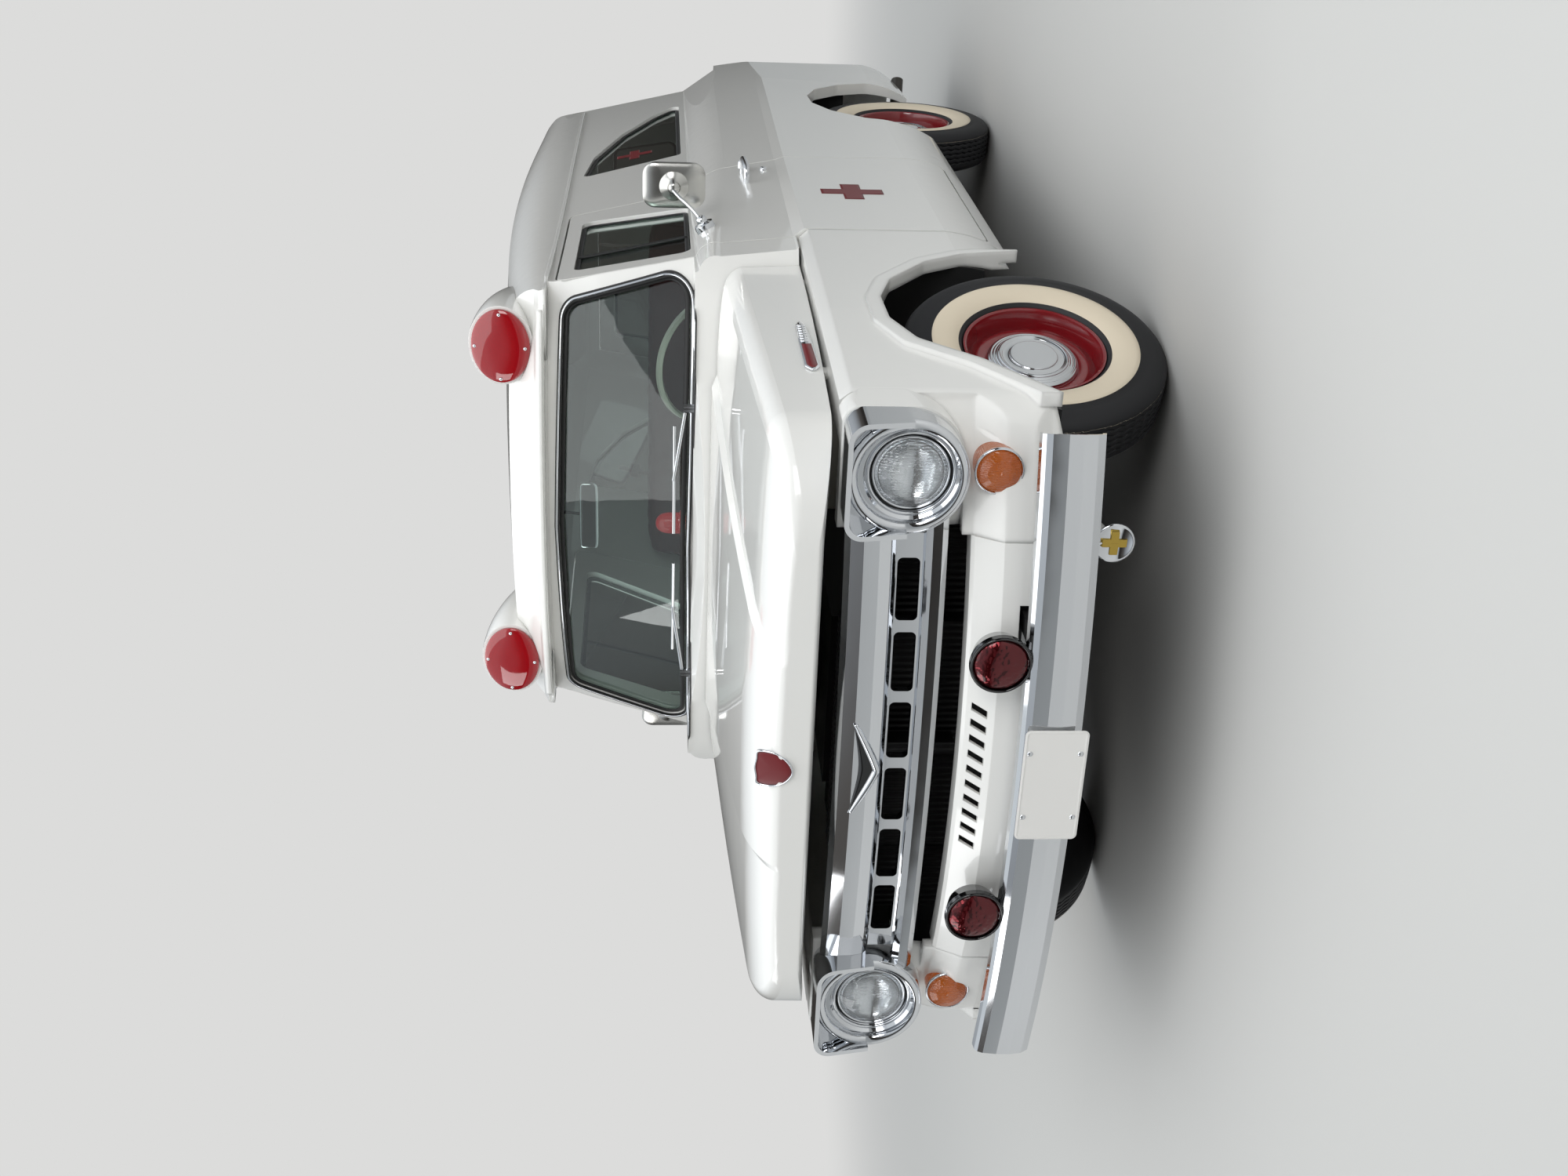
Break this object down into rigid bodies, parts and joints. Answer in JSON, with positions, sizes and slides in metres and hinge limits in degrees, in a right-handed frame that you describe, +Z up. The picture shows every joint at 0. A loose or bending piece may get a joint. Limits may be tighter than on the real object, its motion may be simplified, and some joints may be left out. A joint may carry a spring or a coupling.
{
  "type": "panel van ambulance",
  "caption": "Late fifties panel van ambulance with a hollow body, hinged doors and hood, steered front wheels, roof lamps and whitewall tyres.",
  "frame": {"origin": "on the ground under the middle of the length and width", "axes": "-Y forward, +X to the vehicle's left, +Z up"},
  "size_m": [2.064, 4.8706, 1.9232],
  "materials": {
    "body_paint": "gloss",
    "wheel_paint": "gloss",
    "black_paint": "satin",
    "chrome": "polished",
    "glass": "clear",
    "lamp_glass": "fluted",
    "red_lens": "fluted",
    "amber_lens": "fluted",
    "tyre": "matt",
    "interior_paint": "satin",
    "seat_cloth": "matt",
    "cast_iron": "rough",
    "steel": "dull",
    "ivory_plastic": "gloss",
    "plate_paint": "satin"
  },
  "bodies": {
    "root": {"body_shell": "body_paint", "windscreen_glass": "glass", "quarter_glass": "glass", "windscreen_trim": "chrome", "front_fenders": "body_paint", "headlamp_bezels": "chrome", "headlamp_lenses": "lamp_glass", "grille": "chrome", "apron": "body_paint", "radiator": "black_paint", "turn_lamps": "amber_lens", "front_bumper": "chrome", "bumper_lamps": "black_paint", "bumper_lamp_lenses": "red_lens", "number_plate": "plate_paint", "wipers": "chrome", "roof_lamp_pods": "body_paint", "roof_lamp_lenses": "red_lens", "tail_lamps": "red_lens", "dash_and_firewall": "interior_paint", "floor_pan": "black_paint", "front_seat": "seat_cloth", "steering_column": "black_paint", "chassis_frame": "black_paint", "engine_and_driveline": "cast_iron", "front_axle": "cast_iron", "rear_axle": "cast_iron", "leaf_springs": "steel", "exhaust": "steel", "rear_hinges": "chrome", "wheel_housings": "black_paint"},
    "steering_wheel": {"steering_wheel": "ivory_plastic"},
    "hood": {"hood": "body_paint"},
    "door_left": {"door_left": "body_paint", "door_glass_left": "glass", "door_fittings_left": "chrome"},
    "rear_door_left": {"rear_door_left": "body_paint", "rear_glass_left": "glass"},
    "knuckle_left": {"knuckle_left": "cast_iron"},
    "wheel_front_left": {"wheel_front_left": "wheel_paint", "tyre_front_left": "tyre"},
    "wheel_rear_left": {"wheel_rear_left": "wheel_paint", "tyre_rear_left": "tyre"},
    "door_right": {"door_right": "body_paint", "door_glass_right": "glass", "door_fittings_right": "chrome"},
    "rear_door_right": {"rear_door_right": "body_paint", "rear_glass_right": "glass"},
    "knuckle_right": {"knuckle_right": "cast_iron"},
    "wheel_front_right": {"wheel_front_right": "wheel_paint", "tyre_front_right": "tyre"},
    "wheel_rear_right": {"wheel_rear_right": "wheel_paint", "tyre_rear_right": "tyre"}
  },
  "joints": [
    {"name": "steer_left", "type": "hinge", "parent": "root", "child": "knuckle_left", "pos_m": [0.69, -1.48875, 0.352], "axis": [0, 0, 1], "range_deg": [-12, 44]},
    {"name": "spin_front_left", "type": "hinge", "parent": "knuckle_left", "child": "wheel_front_left", "pos_m": [0.76498, -1.51025, 0.352], "axis": [0.9613, -0.2756, 0], "continuous": true},
    {"name": "spin_rear_left", "type": "hinge", "parent": "root", "child": "wheel_rear_left", "pos_m": [0.768, 1.30525, 0.352], "axis": [1, 0, 0], "continuous": true},
    {"name": "door_left_hinge", "type": "hinge", "parent": "root", "child": "door_left", "pos_m": [0.91, -0.70175, 0.8], "axis": [0, 0, -1], "range_deg": [0, 65]},
    {"name": "rear_door_left_hinge", "type": "hinge", "parent": "root", "child": "rear_door_left", "pos_m": [0.681, 2.42175, 0.8], "axis": [0, 0, -1], "range_deg": [0, 100]},
    {"name": "steer_right", "type": "hinge", "parent": "root", "child": "knuckle_right", "pos_m": [-0.69, -1.48875, 0.352], "axis": [0, 0, 1], "range_deg": [-12, 44]},
    {"name": "spin_front_right", "type": "hinge", "parent": "knuckle_right", "child": "wheel_front_right", "pos_m": [-0.76498, -1.46725, 0.352], "axis": [0.9613, -0.2756, 0], "continuous": true},
    {"name": "spin_rear_right", "type": "hinge", "parent": "root", "child": "wheel_rear_right", "pos_m": [-0.768, 1.30525, 0.352], "axis": [1, 0, 0], "continuous": true},
    {"name": "door_right_hinge", "type": "hinge", "parent": "root", "child": "door_right", "pos_m": [-0.91, -0.70175, 0.8], "axis": [0, 0, 1], "range_deg": [0, 65]},
    {"name": "rear_door_right_hinge", "type": "hinge", "parent": "root", "child": "rear_door_right", "pos_m": [-0.681, 2.42175, 0.8], "axis": [0, 0, 1], "range_deg": [0, 100]},
    {"name": "hood_hinge", "type": "hinge", "parent": "root", "child": "hood", "pos_m": [0, -0.88875, 1.225], "axis": [-1, 0, 0], "range_deg": [0, 50]},
    {"name": "steering_wheel_turn", "type": "hinge", "parent": "root", "child": "steering_wheel", "pos_m": [0.39, -0.41075, 1.18], "axis": [0, 0.7901, 0.613], "range_deg": [-192, 704]}
  ],
  "couplings": [
    {"joint": "steer_right", "follows": "steer_left", "ratio": 1},
    {"joint": "steering_wheel_turn", "follows": "steer_left", "ratio": 16}
  ]
}
